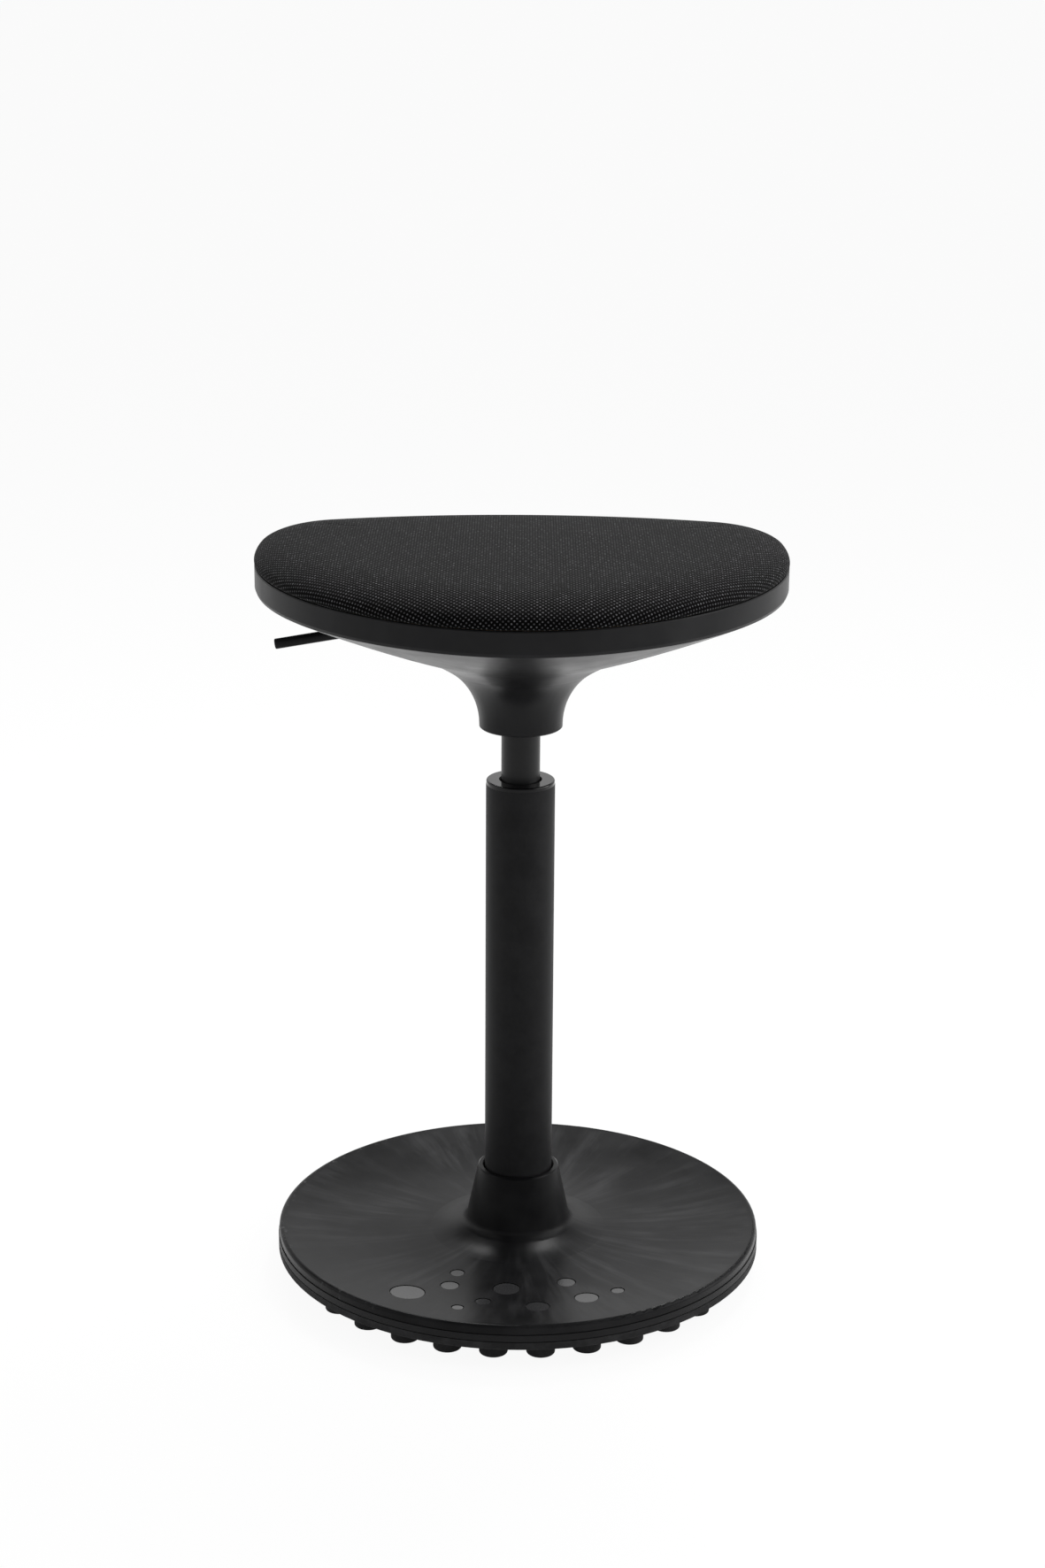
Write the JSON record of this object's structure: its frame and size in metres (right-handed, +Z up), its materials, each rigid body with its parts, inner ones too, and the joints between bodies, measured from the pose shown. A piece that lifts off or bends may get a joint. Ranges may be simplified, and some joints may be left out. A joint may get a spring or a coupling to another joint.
{
  "type": "stool",
  "caption": "Height-adjustable sit-stand rocking stool with an upholstered rounded-triangle seat, gas-lift column and release lever on a dished round base with rubber nubs underneath",
  "frame": {"origin": "on the floor, on the column's axis, in the middle of the base", "axes": "+Z up, -Y toward the seat's rounded point (the front), +X to the sitter's left, release lever toward -X"},
  "size_m": [0.3846, 0.36, 0.5531],
  "materials": {
    "cover_plastic": "moulded black plastic, lightly worn satin",
    "inlay_plastic": "smooth black plastic discs",
    "pan_plastic": "moulded black plastic, satin edge",
    "sole_rubber": "moulded black rubber, dull",
    "shell_plastic": "moulded black plastic, satin",
    "tube_paint": "black powder coat, fine satin",
    "cylinder_paint": "smooth black paint, semi-gloss",
    "bush_plastic": "polished black plastic",
    "lever_coat": "satin black coat",
    "plain_steel": "bright zinc-plated pressed steel",
    "screw_steel": "zinc-plated fastener steel",
    "bearing_steel": "polished hardened steel",
    "cage_brass": "stamped brass",
    "valve_plastic": "machined grey engineering plastic",
    "seal_rubber": "soft black rubber",
    "plywood": "birch plywood, unfinished",
    "cushion_fabric": "black plain-woven upholstery cloth over foam"
  },
  "bodies": {
    "base": {"base_cover": "cover_plastic", "base_inlays": "inlay_plastic", "base_disc": "plain_steel", "sole_pan": "pan_plastic", "base_screws": "screw_steel", "rubber_sole": "sole_rubber", "column_socket": "plain_steel", "column_grub_screws": "screw_steel", "column_tube": "tube_paint", "tube_foot_plate": "plain_steel", "guide_bush": "bush_plastic", "lower_bearing_washer": "bearing_steel"},
    "ball_ring": {"bearing_balls": "bearing_steel", "bearing_cage": "cage_brass"},
    "rod": {"piston_rod": "bearing_steel", "rod_clip": "screw_steel", "upper_bearing_washer": "bearing_steel", "rubber_buffer": "seal_rubber", "piston": "valve_plastic", "piston_ring": "seal_rubber"},
    "seat": {"gas_cylinder": "cylinder_paint", "rod_guide": "valve_plastic", "rod_seal": "seal_rubber", "valve_body": "valve_plastic", "taper_socket": "plain_steel", "mechanism_plate": "plain_steel", "mechanism_screws": "screw_steel", "lever_bracket": "plain_steel", "lever_pin": "screw_steel", "seat_shell": "shell_plastic", "seat_board": "plywood", "tee_nuts": "screw_steel", "board_screws": "screw_steel", "seat_cushion": "cushion_fabric"},
    "lever": {"release_lever": "lever_coat"},
    "valve": {"valve_button": "valve_plastic"}
  },
  "joints": [
    {"name": "swivel", "type": "hinge", "parent": "base", "child": "rod", "pos_m": [0, 0, 0.033], "axis": [0, 0, 1], "continuous": true},
    {"name": "ball_ring_roll", "type": "hinge", "parent": "base", "child": "ball_ring", "pos_m": [0, 0, 0.033], "axis": [0, 0, 1], "continuous": true},
    {"name": "lift", "type": "slide", "parent": "rod", "child": "seat", "axis": [0, 0, 1], "range_m": [0, 0.24]},
    {"name": "lever_pull", "type": "hinge", "parent": "seat", "child": "lever", "pos_m": [-0.026, 0, 0.50534], "axis": [0, 1, 0], "range_deg": [0, 5.5], "stiffness_Nm_per_rad": 2.7, "springref_deg": -2.29},
    {"name": "valve_press", "type": "slide", "parent": "seat", "child": "valve", "axis": [0, 0, -1], "range_m": [0, 0.0025]}
  ],
  "couplings": [
    {"joint": "ball_ring_roll", "follows": "swivel", "ratio": 0.5},
    {"joint": "valve_press", "follows": "lever_pull", "m_per_rad": 0.026}
  ]
}
